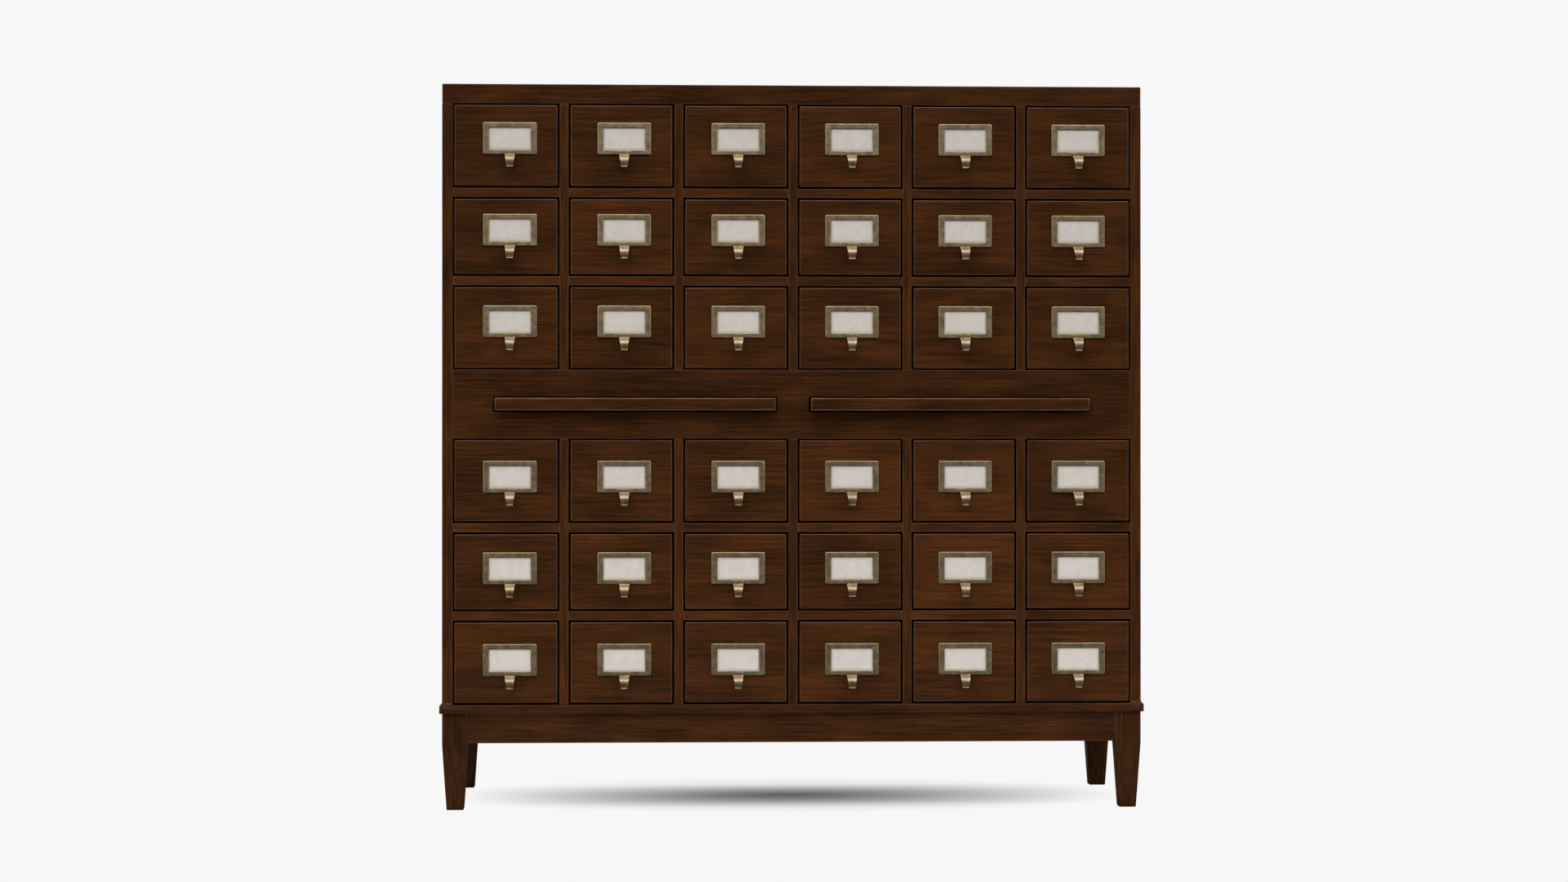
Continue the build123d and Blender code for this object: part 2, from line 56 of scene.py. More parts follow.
# A board's lattice has its planes at these shares of the rounding in from each side
LATTICE_MARKS = (0.0, 0.25, 0.45, 0.7, 1.0)
LATTICE_COUNT = 2 * len(LATTICE_MARKS)
LARGEST_ROUND_SHARE = 0.45

# Edge roundings
BOARD_ROUND = 0.5 * MM
TOP_ROUND = 1.6 * MM
FRONT_ROUND = 2.2 * MM
BOX_ROUND = 0.8 * MM
LIPPING_CORNER = 5.0 * MM
LIPPING_ROUND = 1.3 * MM
PEG_ROUND = 0.8 * MM
LEG_ROUND = 1.8 * MM
CARD_ROUND = 0.15 * MM
SHARP_ANGLE = math.radians(20)

# How much each drawer front is narrower and lower than its CAD box, on each side
FRONT_TRIM = 0.4 * MM

# Painted shade in tight gaps: how far a surface looks to the rear, and how dark its colour is
# painted for each such turn
GAP_TURNS = (-0.9, -0.36, -0.2, 0.0, 0.3)
FRONT_SHADES = (0.0, 1.0, 1.0, 0.22, 0.0)
INNER_SHADE = 0.5
CASE_SHADES = (0.0, 0.4, INNER_SHADE, INNER_SHADE, INNER_SHADE)

# Middle rail: the slots round the two writing slides
SLIDE_THICKNESS = 19.5 * MM
SLOT_GAP = 2.0 * MM

# Base moulding: eased arrises, a cove on its upper edge, and the step down to the stretch
# planed off under the drawers
MOULDING_EASE = 0.7 * MM
COVE_HEIGHT = 4.7 * MM
COVE_HOLLOW = 0.9 * MM
COVE_STEPS = 7
PLANED_STEP = 0.3 * MM

# Legs: half width at the foot and height of the knee, where the taper starts; the foot's
# edge is eased by these insets at these heights
FOOT_HALF = 13.25 * MM
FOOT_EASE = ((0.0, 1.0 * MM), (0.4 * MM, 0.35 * MM), (1.2 * MM, 0.0))
KNEE_HEIGHT = 101.6 * MM
KNEE_SOFTENING = 3.0 * MM
KNEE_INSET = 0.04 * MM
LEG_TOP_EASE = 1.0 * MM
LEG_TOP_INSET = 0.2 * MM

# Screw heads: rings as shares of the radius, from the rim in; the cross recess starts inside
# a share of the radius, and its half width and depth are shares of the radius and the dome
HEAD_SHARES = (1.0, 0.97, 0.85, 0.62, 0.45, 0.3, 0.16)
HEAD_STEPS = 24
HEAD_SUNK = 0.2 * MM
RECESS_REACH = 0.6
RECESS_HALF = 0.13
RECESS_DEPTH = 0.45
PULL_SCREW_RISE = 2.2 * MM
BACK_SCREW_RISE = 0.24 * MM
BACK_SCREW_ROOM = 0.25 * MM

# Sizes that tell the separate solids of a drawer or a writing slide apart
CARD_DEPTH_LIMIT = 1.0 * MM
FLOOR_HEIGHT_LIMIT = 8.0 * MM
LONG_DEPTH = 300 * MM
FRONT_WIDTH = 150 * MM
BACK_WIDTH = 120 * MM
HOLDER_WIDTH = 50 * MM
LONG_SIDE = 100 * MM

# Label holder and hook pull, measured from the drawer's face and the holder's box
HOLDER_CORNER = 2.2 * MM
WINDOW_CORNER = 1.6 * MM
WINDOW_HALF = (32.2 * MM, 17.3 * MM)
WINDOW_DROP = 0.5 * MM
HOLDER_SECTION = (
    # share of the border from its outer edge, height above the drawer face in mm, rubbed wear
    # with painted highlight; the last three make the rebate behind the window's edge that the card
    # lies in
    (0.00, 0.0, 0.0),
    (0.00, 1.60, 0.4),
    (0.04, 1.96, 0.7),
    (0.10, 2.12, 0.35),
    (0.18, 2.16, 0.1),
    (0.34, 2.15, 0.0),
    (0.60, 2.13, 0.0),
    (0.84, 2.12, 0.0),
    (0.93, 2.08, 0.2),
    (0.98, 1.85, 0.3),
    (1.00, 1.50, 0.1),
    (1.00, 0.50, 0.0),
    (0.60, 0.50, 0.0),
    (0.60, 0.0, 0.0),
)
HOOK_DROP = 19.6 * MM
# Half widths of the hook's tip, neck and tab, and their heights over the holder's lower edge
HOOK_HEIGHTS = (-HOOK_DROP, 1.2 * MM, 2.6 * MM)
HOOK_HALVES = (4.9 * MM, 8.3 * MM, 9.8 * MM)
HOOK_THICKNESS = 1.5 * MM
# The underside of the hook's tab is sunk in the holder to this height above the drawer's face
HOOK_BACK = 1.2 * MM
HOOK_SIDE = (
    # forward of the drawer face and up from the holder's lower edge, in mm; rubbed wear with a
    # painted highlight, or if below 0 painted shade in the tarnish colour
    (2.30, 5.2, -0.6),
    (2.75, 5.0, -0.5),
    (2.95, 4.3, -0.9),
    (3.02, 2.0, -0.9),
    (3.30, 0.2, -0.6),
    (5.60, -1.8, 0.2),
    (9.20, -3.7, 1.0),
    (12.1, -6.2, 0.7),
    (13.3, -9.6, 0.1),
    (13.1, -13.2, 0.0),
    (12.4, -16.4, 0.0),
    (12.3, -18.2, 0.0),
    (12.7, -19.4, 0.0),
)
HOOK_ACROSS = (
    # share of the half width, lift of the outer surface in mm, rubbed edge with painted highlight
    (-1.00, -0.55, 0.5),
    (-0.96, -0.12, 1.0),
    (-0.88, 0.10, 0.8),
    (-0.74, 0.0, 0.1),
    (-0.40, -0.10, 0.0),
    (0.00, -0.13, 0.0),
    (0.40, -0.10, 0.0),
    (0.74, 0.0, 0.1),
    (0.88, 0.10, 0.8),
    (0.96, -0.12, 1.0),
    (1.00, -0.55, 0.5),
)
HOOK_UNDERSIDE = (0.94, 0.5, 0.0, -0.5, -0.94)

# Camera, in the frame's own metres
CAMERA_PLACE = (-0.2432, -5.2071, 0.5563)
CAMERA_YAW = 2.609
CAMERA_PITCH = 0.157
CAMERA_LENS = 74.59
SENSOR_WIDTH = 36.0

# Studio light: brightness of the surroundings straight in front, at the sides and above, and
# the direction's depth and height between which one turns into the other
FRONT_GLOW = 0.04
SIDE_GLOW = 1.9
TOP_GLOW = 2.1
FRONT_TURN = (-0.62, -0.84)
TOP_TURN = (0.50, 0.80)
KEY_PLACE = (-0.5, -3.2, 4.4)
KEY_TARGET = (0, 0, 0.6)
KEY_SIZE = (4.2, 2.6)
KEY_POWER = 76.0

# Studio floor: the paleness that the camera sees, and the oval that the cabinet shades
PALE = 0.93
STAGE_HALF = 30.0
SHADE_MIDDLE = (0.0, 0.04, 0.0)
SHADE_HALF = (0.50, 0.255)
SHADE_FALL = 1.4
SHADE_LIFT = 0.86

# What the floor throws back: its colour near the cabinet and far off, dimmer in reflections
FLOOR_NEAR = 0.9
FLOOR_FAR = 2.2
FLOOR_NEAR_COLOUR = 0.62
FLOOR_FAR_COLOUR = 0.03
MIRROR_DIMMING = -0.95


# ---------------------------------------------------------------- shapes


class Board:
    """Where a piece of wood or metal lies, so that its grain and worn edges follow it.

    Its own axes run along the grain, then across it by the wider and the narrower way.
    """

    def __init__(self, low, high, grain):
        low = np.array(low, float)
        high = np.array(high, float)
        sizes = high - low
        others = sorted((axis for axis in range(3) if axis != grain), key=lambda axis: -sizes[axis])
        self.order = [grain] + others
        self.middle = (low + high) / 2
        self.half = (sizes / 2)[self.order]
        self.seed = chance.uniform(-5, 5, 3)
        self.tone = chance.uniform(0, 1)


class Shape:
    """Vertices and faces of one piece, with what its material reads at each vertex.

    One value read at each vertex is painted shade of tight gaps on wood; on metal it is rubbed
    wear with a painted highlight, or below 0 painted shade in the tarnish colour.
    """

    def __init__(self):
        self.points = []
        self.normals = []
        self.faces = []
        self.local = []
        self.half = []
        self.seed = []
        self.tone = []
        self.finish = []
        self.count = 0

    def add(self, points, faces, board, normals=None, finish=None):
        points = np.array(points, float).reshape(-1, 3)
        total = len(points)
        self.points.append(points)
        self.normals.append(np.zeros((total, 3)) if normals is None else normals)
        self.local.append((points - board.middle)[:, board.order])
        self.half.append(np.tile(board.half, (total, 1)))
        self.seed.append(np.tile(board.seed, (total, 1)))
        self.tone.append(np.full(total, board.tone))
        self.finish.append(np.zeros(total) if finish is None else np.array(finish, float))
        self.faces.extend([tuple(index + self.count for index in face) for face in faces])
        self.count += total

    def build(self, name, material, body, node):
        """Make the piece, riding on a body in place of a CAD node, with its material."""
        mesh = bpy.data.meshes.new(name)
        mesh.from_pydata(np.concatenate(self.points).tolist(), [], self.faces)
        for key, kind, data in (
            ("local", "FLOAT_VECTOR", self.local),
            ("half", "FLOAT_VECTOR", self.half),
            ("seed", "FLOAT_VECTOR", self.seed),
            ("tone", "FLOAT", self.tone),
            ("finish", "FLOAT", self.finish),
        ):
            attribute = mesh.attributes.new(key, kind, "POINT")
            field = "vector" if kind == "FLOAT_VECTOR" else "value"
            attribute.data.foreach_set(field, np.concatenate(data).astype(np.float32).ravel())
        mesh.materials.append(material)
        work = bmesh.new()
        work.from_mesh(mesh)
        bmesh.ops.recalc_face_normals(work, faces=work.faces)
        work.to_mesh(mesh)
        work.free()
        mesh.shade_smooth()
        mesh.normals_split_custom_set_from_vertices(np.concatenate(self.normals).tolist())
        piece = bpy.data.objects.new(name, mesh)
        bpy.context.scene.collection.objects.link(piece)
        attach(piece, body)
        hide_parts(node)


def lattice():
    """Index triples on the skin of a small cubic lattice, and the quads that close it."""
    last = LATTICE_COUNT - 1
    cells = [t for t in itertools.product(range(LATTICE_COUNT), repeat=3) if 0 in t or last in t]
    number = {triple: index for index, triple in enumerate(cells)}
    quads = []
    for axis in range(3):
        u, v = [other for other in range(3) if other != axis]
        for side in (0, last):
            for a, b in itertools.product(range(last), repeat=2):
                corners = []
                for da, db in ((0, 0), (1, 0), (1, 1), (0, 1)):
                    triple = [0, 0, 0]
                    triple[axis] = side
                    triple[u] = a + da
                    triple[v] = b + db
                    corners.append(number[tuple(triple)])
                quads.append(corners)
    return np.array(cells), quads


LATTICE_CELLS, LATTICE_QUADS = lattice()


def add_board(shape, low, high, grain, radius, board=None, shades=None):
    """A board whose edges are rounded; grain is the axis its fibres run along.

    Shades, one for each of GAP_TURNS, paint the shade of a tight gap into its colour.
    """
    low = np.array(low, float)
    high = np.array(high, float)
    board = board or Board(low, high, grain)
    radius = min(radius, LARGEST_ROUND_SHARE * float((high - low).min()))
    points = np.zeros((len(LATTICE_CELLS), 3))
    for axis in range(3):
        near = [low[axis] + radius * mark for mark in LATTICE_MARKS]
        far = [high[axis] - radius * mark for mark in reversed(LATTICE_MARKS)]
        points[:, axis] = np.array(near + far)[LATTICE_CELLS[:, axis]]
    core = np.clip(points, low + radius, high - radius)
    outward = points - core
    outward /= np.linalg.norm(outward, axis=1, keepdims=True)
    shade = None if shades is None else np.interp(outward[:, Y_AXIS], GAP_TURNS, shades)
    shape.add(core + outward * radius, LATTICE_QUADS, board, outward, shade)


def add_loft(shape, rings, board, wrap=False, finish=None):
    """Skin over rings with equal point counts, capped at the ends or joined round."""
    size = len(rings[0])
    points = np.concatenate([np.array(ring, float) for ring in rings])
    faces = []
    spans = len(rings) if wrap else len(rings) - 1
    for index in range(spans):
        here = index * size
        there = ((index + 1) % len(rings)) * size
        for step in range(size):
            after = (step + 1) % size
            faces.append((here + step, here + after, there + after, there + step))
    if not wrap:
        faces.append(tuple(range(size)))
        faces.append(tuple(range(len(points) - size, len(points))))
    shape.add(points, faces, board, finish=finish)


def rounded_rectangle(half_x, half_z, radius, steps):
    """Points round a rectangle with arcs at its corners, in its own plane."""
    points = []
    for turn, (side_x, side_z) in enumerate(((1, 1), (-1, 1), (-1, -1), (1, -1))):
        for step in range(steps + 1):
            angle = math.radians(90 * turn + 90 * step / steps)
            x = side_x * (half_x - radius) + radius * math.cos(angle)
            z = side_z * (half_z - radius) + radius * math.sin(angle)
            points.append((x, z))
    return np.array(points)


def between(first, last, share):
    """The value that lies a share of the way from the first to the last."""
    return first + (last - first) * share


def at_height(outline, z):
    """An outline in the XY plane as a ring of points at one height."""
    return np.column_stack((outline, np.full(len(outline), z)))


def inset_outline(outline, distance):
    """An anticlockwise outline moved inwards by a distance, corner by corner."""
    outline = np.array(outline, float)
    moved = []
    for index in range(len(outline)):
        before = outline[index] - outline[index - 1]
        after = outline[(index + 1) % len(outline)] - outline[index]
        before /= np.linalg.norm(before)
        after /= np.linalg.norm(after)
        normal_before = np.array((-before[1], before[0]))
        normal_after = np.array((-after[1], after[0]))
        bisector = normal_before + normal_after
        bisector /= 1 + normal_before @ normal_after
        moved.append(outline[index] + bisector * distance)
    return np.array(moved)


def add_outline_slab(shape, outline, low_z, high_z, radius, board):
    """An outline in the XY plane stood up between two heights, its end edges rounded."""
    lower = []
    upper = []
    for angle in (0, 30, 60, 90):
        turn = math.radians(angle)
        ring = inset_outline(outline, radius * (1 - math.sin(turn)))
        inward = radius * (1 - math.cos(turn))
        lower.append(at_height(ring, low_z + inward))
        upper.append(at_height(ring, high_z - inward))
    add_loft(shape, lower + upper[::-1], board)


def extrude(work, faces, move):
    """Draw faces in a bmesh out along a move."""
    extruded = bmesh.ops.extrude_face_region(work, geom=faces)
    moved = [item for item in extruded["geom"] if isinstance(item, bmesh.types.BMVert)]
    bmesh.ops.translate(work, verts=moved, vec=move)


def add_eased(shape, work, board, inward=None):
    """Ease every edge of a block made in bmesh by a small bevel, and keep its faces flat.

    What faces the inward direction gets painted shade, as dark as the inside of a tight gap.
    """
    bmesh.ops.recalc_face_normals(work, faces=work.faces)
    sharp = [edge for edge in work.edges if edge.calc_face_angle(0) > SHARP_ANGLE]
    bmesh.ops.bevel(
        work,
        geom=sharp,
        offset=BOARD_ROUND,
        segments=3,
        profile=0.5,
        affect="EDGES",
        clamp_overlap=True,
    )
    work.normal_update()
    work.verts.index_update()
    points = [vertex.co[:] for vertex in work.verts]
    faces = [tuple(vertex.index for vertex in face.verts) for face in work.faces]
    normals = []
    for vertex in work.verts:
        total = Vector((0, 0, 0))
        for face in vertex.link_faces:
            total += face.normal * face.calc_area()
        normals.append(total.normalized())
    normals = np.array(normals)
    shade = None if inward is None else np.clip(normals @ np.array(inward), 0, INNER_SHADE)
    shape.add(points, faces, board, normals, shade)
    work.free()


def islands(node):
    """Boxes of a CAD node's separate solids; a solid ends where its faces have closed up."""
    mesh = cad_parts[node].data
    corners = np.array([vertex.co for vertex in mesh.vertices], float).reshape(-1, 3)
    spots = {}
    owner = [spots.setdefault(key, len(spots)) for key in map(tuple, np.round(corners, 6).tolist())]
    boxes = []
    members = set()
    unpaired = set()
    for polygon in mesh.polygons:
        members.update(polygon.vertices)
        ring = [owner[vertex] for vertex in polygon.vertices]
        for here, there in zip(ring, ring[1:] + ring[:1]):
            if (there, here) in unpaired:
                unpaired.remove((there, here))
            else:
                unpaired.add((here, there))
        if not unpaired:
            solid = corners[sorted(members)]
            boxes.append((solid.min(0), solid.max(0)))
            members = set()
    return sorted(boxes, key=lambda box: tuple(np.round(box[0], 5)))


# ------------------------------------------------------------- materials


class Graph:
    """Short calls for wiring up a node tree."""

    def __init__(self, tree):
        self.tree = tree

    def link(self, value, socket):
        if isinstance(value, bpy.types.NodeSocket):
            self.tree.links.new(value, socket)
        else:
            socket.default_value = value

    def attribute(self, name, output="Vector"):
        node = self.tree.nodes.new("ShaderNodeAttribute")
        node.attribute_name = name
        return node.outputs[output]

    def math(self, operation, a, b=0.0, c=0.0):
        node = self.tree.nodes.new("ShaderNodeMath")
        node.operation = operation
        for value, socket in zip((a, b, c), node.inputs):
            self.link(value, socket)
        return node.outputs[0]

    def vector(self, operation, a, b=(0, 0, 0)):
        node = self.tree.nodes.new("ShaderNodeVectorMath")
        node.operation = operation
        self.link(a, node.inputs[0])
        self.link(b, node.inputs[1])
        return node.outputs["Value" if operation == "LENGTH" else "Vector"]

    def split(self, vector):
        node = self.tree.nodes.new("ShaderNodeSeparateXYZ")
        self.link(vector, node.inputs[0])
        return node.outputs

    def join(self, x, y, z):
        node = self.tree.nodes.new("ShaderNodeCombineXYZ")
        for value, socket in zip((x, y, z), node.inputs):
            self.link(value, socket)
        return node.outputs[0]

    def noise(self, place, scale, detail=3.0, roughness=0.55, distortion=0.0):
        stretched = self.vector("MULTIPLY", place, scale)
        node = self.tree.nodes.new("ShaderNodeTexNoise")
        self.link(stretched, node.inputs["Vector"])
        node.inputs["Scale"].default_value = 1.0
        node.inputs["Detail"].default_value = detail
        node.inputs["Roughness"].default_value = roughness
        node.inputs["Distortion"].default_value = distortion
        return node.outputs["Fac"]

    def weighted(self, *terms):
        """The sum of values, each times its weight."""
        total = 0.0
        for value, weight in terms:
            total = self.math("MULTIPLY_ADD", value, weight, total)
        return total

    def span(self, value, low, high, to_low=0.0, to_high=1.0):
        node = self.tree.nodes.new("ShaderNodeMapRange")
        node.interpolation_type = "SMOOTHSTEP"
        for given, socket in zip((value, low, high, to_low, to_high), node.inputs):
            self.link(given, socket)
        return node.outputs[0]

    def ramp(self, value, stops):
        node = self.tree.nodes.new("ShaderNodeValToRGB")
        elements = node.color_ramp.elements
        while len(elements) < len(stops):
            elements.new(0.5)
        for element, (place, colour) in zip(elements, stops):
            element.position = place
            element.color = (*colour, 1.0)
        self.link(value, node.inputs[0])
        return node.outputs[0]

    def mix(self, share, a, b):
        node = self.tree.nodes.new("ShaderNodeMix")
        node.data_type = "RGBA"
        self.link(share, node.inputs["Factor"])
        self.link(a if isinstance(a, bpy.types.NodeSocket) else (*a, 1.0), node.inputs["A"])
        self.link(b if isinstance(b, bpy.types.NodeSocket) else (*b, 1.0), node.inputs["B"])
        return node.outputs["Result"]

    def coordinate(self, kind):
        return self.tree.nodes.new("ShaderNodeTexCoord").outputs[kind]

    def ray(self, kind):
        return self.tree.nodes.new("ShaderNodeLightPath").outputs[kind]


class Surface(Graph):
    """A new material whose surface is one principled shader."""

    def __init__(self, name):
        self.material = bpy.data.materials.new(name)
        self.material.use_nodes = True
        super().__init__(self.material.node_tree)
        self.tree.nodes.clear()
        self.output = self.tree.nodes.new("ShaderNodeOutputMaterial")
        self.shader = self.tree.nodes.new("ShaderNodeBsdfPrincipled")
        self.tree.links.new(self.shader.outputs[0], self.output.inputs[0])

    def bump(self, height, strength, distance):
        node = self.tree.nodes.new("ShaderNodeBump")
        node.inputs["Strength"].default_value = strength
        node.inputs["Distance"].default_value = distance
        self.link(height, node.inputs["Height"])
        self.link(node.outputs[0], self.shader.inputs["Normal"])

    def set(self, name, value):
        if isinstance(value, tuple) and len(value) == 3:
            value = (*value, 1.0)
        self.link(value, self.shader.inputs[name])


def srgb(*levels):
    """A display colour, red, green and blue in 0 to 255, as linear light."""
    linear = []
    for level in levels:
        value = level / 255
        linear.append(value / 12.92 if value <= 0.04045 else ((value + 0.055) / 1.055) ** 2.4)
    return tuple(linear)


def own_place(nodes, carried=True):
    """Where a point lies along and across its board, in metres and in millimetres.

    A carried place is what a Shape stores; the other is the object's own coordinates.
    """
    local = nodes.attribute("local") if carried else nodes.coordinate("Object")
    return local, nodes.vector("MULTIPLY", local, (1 / MM, 1 / MM, 1 / MM))


def shifted(nodes, in_mm, reach):
    """A place moved by its board's seed, so that no two boards have one pattern."""
    return nodes.vector("ADD", in_mm, nodes.vector("MULTIPLY", nodes.attribute("seed"), reach))


def edge_distance(nodes, local):
    """Millimetres from the nearest edge of the board, worked out from its half sizes."""
    gap = nodes.vector("SUBTRACT", nodes.attribute("half"), nodes.vector("ABSOLUTE", local))
    x, y, z = nodes.split(gap)
    lowest = nodes.math("MINIMUM", nodes.math("MINIMUM", x, y), z)
    highest = nodes.math("MAXIMUM", nodes.math("MAXIMUM", x, y), z)
    total = nodes.math("ADD", nodes.math("ADD", x, y), z)
    middle = nodes.math("SUBTRACT", nodes.math("SUBTRACT", total, lowest), highest)
    return nodes.math("MULTIPLY", middle, 1 / MM)


# Wood patterns: noise cells in a millimetre, along the grain and in both ways across it
WARP = (0.005, 0.012, 0.012)
STREAKS = (0.007, 0.28, 0.28)
FIBRES = (0.020, 0.75, 0.75)
PATCHES = (0.009, 0.022, 0.022)
PORES = (0.05, 1.6, 1.6)
SCUFFS = (0.03, 0.05, 0.05)
WOOD_SEED_REACH = (900.0, 300.0, 300.0)

# Growth rings: the pith's distance in mm and its spread from board to board, its slope to
# the grain, how far the rings wander in mm, and their turn in radians to a millimetre
PITH_DISTANCE = 52.0
PITH_SPREAD_Y = 9.0
PITH_SPREAD_Z = 7.0
PITH_SLOPE = 0.03
RING_WARP = 30.0
RING_TURN = 1.5

# Rubbed arrises, partly wear and partly painted highlight, start this far from an edge in mm,
# and are full nearer than the second
HIGHLIT_WORN_REACH = 2.4
HIGHLIT_WORN_FULL = 0.9

# A pore's colour as a share of the dark colour, and the value of painted gap shade that makes
# wood darkest
PORE_COLOUR = 0.4
FULL_SHADE = 0.6


def growth_rings(nodes, in_mm, place):
    """Rings round a pith that lies beyond the board, from 0 to 1."""
    _, seed_y, seed_z = nodes.split(nodes.attribute("seed"))
    x, y, z = nodes.split(in_mm)
    warp = nodes.noise(place, WARP, detail=2.0)
    bend = nodes.math("MULTIPLY", nodes.math("SUBTRACT", warp, 0.5), RING_WARP)
    ring_x = nodes.math("MULTIPLY", x, PITH_SLOPE)
    ring_y = nodes.math("MULTIPLY_ADD", seed_y, PITH_SPREAD_Y, nodes.math("ADD", y, bend))
    ring_z = nodes.math("ADD", z, nodes.math("MULTIPLY_ADD", seed_z, PITH_SPREAD_Z, PITH_DISTANCE))
    radius = nodes.vector("LENGTH", nodes.join(ring_x, ring_y, ring_z))
    wave = nodes.math("SINE", nodes.math("MULTIPLY", radius, RING_TURN))
    return nodes.math("MULTIPLY_ADD", wave, 0.5, 0.5)


def wood(name, colours, wear_and_highlight, roughness=0.30, specular=0.2, carried=True):
    """Wood with broad stain patches, growth rings, and fibres and pores along the grain.

    The colours are dark, middle, light, and that of rubbed arrises, which also serves as their
    painted highlight.
    """
    dark, middle, light, rubbed_and_lit = colours
    nodes = Surface(name)
    local, in_mm = own_place(nodes, carried)
    place = shifted(nodes, in_mm, WOOD_SEED_REACH)
    streaks = nodes.noise(place, STREAKS, detail=5.0, roughness=0.62)
    fibres = nodes.noise(place, FIBRES, detail=4.0)
    patches = nodes.noise(place, PATCHES, detail=2.0, roughness=0.5, distortion=0.3)
    pores = nodes.span(nodes.noise(place, PORES, detail=2.0), 0.58, 0.70)
    tone = nodes.math("SUBTRACT", nodes.attribute("tone", "Fac"), 0.5)
    level = nodes.weighted(
        (nodes.span(streaks, 0.28, 0.72), 0.36),
        (nodes.span(fibres, 0.30, 0.70), 0.36),
        (nodes.span(patches, 0.30, 0.70), 0.28),
        (growth_rings(nodes, in_mm, place), 0.10),
        (tone, 0.22),
    )
    colour = nodes.ramp(level, ((0.14, dark), (0.52, middle), (0.92, light)))
    pore_colour = tuple(PORE_COLOUR * part for part in dark)
    colour = nodes.mix(nodes.math("MULTIPLY", pores, 0.55), colour, pore_colour)

    # rubbed arrises: partly wear, partly a painted highlight along the edges
    near_edge = nodes.span(edge_distance(nodes, local), HIGHLIT_WORN_REACH, HIGHLIT_WORN_FULL)
    scuffs = nodes.span(nodes.noise(place, SCUFFS, detail=4.0), 0.32, 0.66, 0.45, 1.0)
    worn_and_highlit = nodes.math("MULTIPLY", near_edge, scuffs)
    colour = nodes.mix(nodes.math("MULTIPLY", worn_and_highlit, wear_and_highlight), colour, rubbed_and_lit)
    # painted shade of tight gaps: the colour goes towards black and the reflection is dimmed
    shade = nodes.span(nodes.attribute("finish", "Fac"), 0.0, FULL_SHADE)
    colour = nodes.mix(nodes.math("MULTIPLY", shade, 0.96), colour, (0.0, 0.0, 0.0))
    nodes.set("Base Color", colour)

    rough = nodes.math("MULTIPLY_ADD", fibres, 0.16, roughness - 0.08)
    nodes.set("Roughness", nodes.math("MULTIPLY_ADD", worn_and_highlit, -0.06, rough))
    gloss = nodes.math("MULTIPLY_ADD", worn_and_highlit, 0.15, specular)
    lit = nodes.math("SUBTRACT", 1.0, shade)
    nodes.set("Specular IOR Level", nodes.math("MULTIPLY", gloss, lit))
    relief = nodes.weighted((fibres, 0.5), (pores, -0.6))
    nodes.bump(relief, strength=0.22, distance=0.12 * MM)
    return nodes.material


# Brass, card and steel: noise cells in a millimetre, and colours; the card turns darker and
# warmer towards its edges from one distance in mm, and fully so from the next
SMALL_SEED_REACH = (90.0, 90.0, 90.0)
BRASS_FILM = (0.10, 0.10, 0.10)
BRASS_SPOTS = (0.34, 0.34, 0.34)
BRASS_GRIT = (1.8, 1.8, 1.8)
BRASS_COLOURS = (
    (0.0, (0.228, 0.173, 0.097)),
    (0.5, (0.316, 0.239, 0.140)),
    (1.0, (0.413, 0.321, 0.202)),
)
# The tarnish colour also serves as painted shade, the rubbed colour also as painted highlight
TARNISH_AND_SHADE_BRASS = (0.15, 0.115, 0.052)
RUBBED_AND_HIGHLIT_BRASS = (0.52, 0.41, 0.26)
BLOTCHES = (0.09, 0.09, 0.09)
PAPER_FIBRE = (1.0, 2.6, 2.6)
CARD_COLOURS = ((0.0, srgb(199, 192, 185)), (0.5, srgb(202, 196, 189)), (1.0, srgb(205, 199, 193)))
CARD_BORDER = 7.5
CARD_BORDER_FULL = 2.5
CARD_EDGE_TINT = srgb(178, 166, 148)
CARD_FIBRES = srgb(170, 160, 145)
STEEL_FILM = (0.5, 0.5, 0.5)
STEEL_COLOURS = ((0.3, srgb(120, 117, 108)), (0.7, srgb(168, 166, 158)))


def brass():
    """Antique brass: mottled brown film, darker spots, rubbed wear with painted highlights, painted
    shade.
    """
    nodes = Surface("antique_brass")
    _, in_mm = own_place(nodes)
    place = shifted(nodes, in_mm, SMALL_SEED_REACH)
    film = nodes.noise(place, BRASS_FILM, detail=4.0, roughness=0.6, distortion=0.5)
    spots = nodes.noise(place, BRASS_SPOTS, roughness=0.6)
    grit = nodes.noise(place, BRASS_GRIT, detail=2.0)
    level = nodes.math("MULTIPLY_ADD", grit, 0.12, nodes.span(film, 0.3, 0.7))
    colour = nodes.ramp(level, BRASS_COLOURS)
    spotted = nodes.math("MULTIPLY", nodes.span(spots, 0.55, 0.68), 0.55)
    colour = nodes.mix(spotted, colour, TARNISH_AND_SHADE_BRASS)
    finish = nodes.attribute("finish", "Fac")
    # below 0 the value paints shade in the tarnish colour; above 0 rubbed wear with a painted
    # highlight
    colour = nodes.mix(nodes.math("MULTIPLY", finish, -0.8), colour, TARNISH_AND_SHADE_BRASS)
    colour = nodes.mix(nodes.math("MULTIPLY", finish, 0.7), colour, RUBBED_AND_HIGHLIT_BRASS)
    nodes.set("Base Color", colour)
    nodes.set("Metallic", 1.0)
    rough = nodes.math("MULTIPLY_ADD", spots, 0.2, 0.46)
    nodes.set("Roughness", nodes.math("MULTIPLY_ADD", finish, -0.08, rough))
    relief = nodes.weighted((spots, 0.7), (grit, 0.3))
    nodes.bump(relief, strength=0.22, distance=0.10 * MM)
    return nodes.material


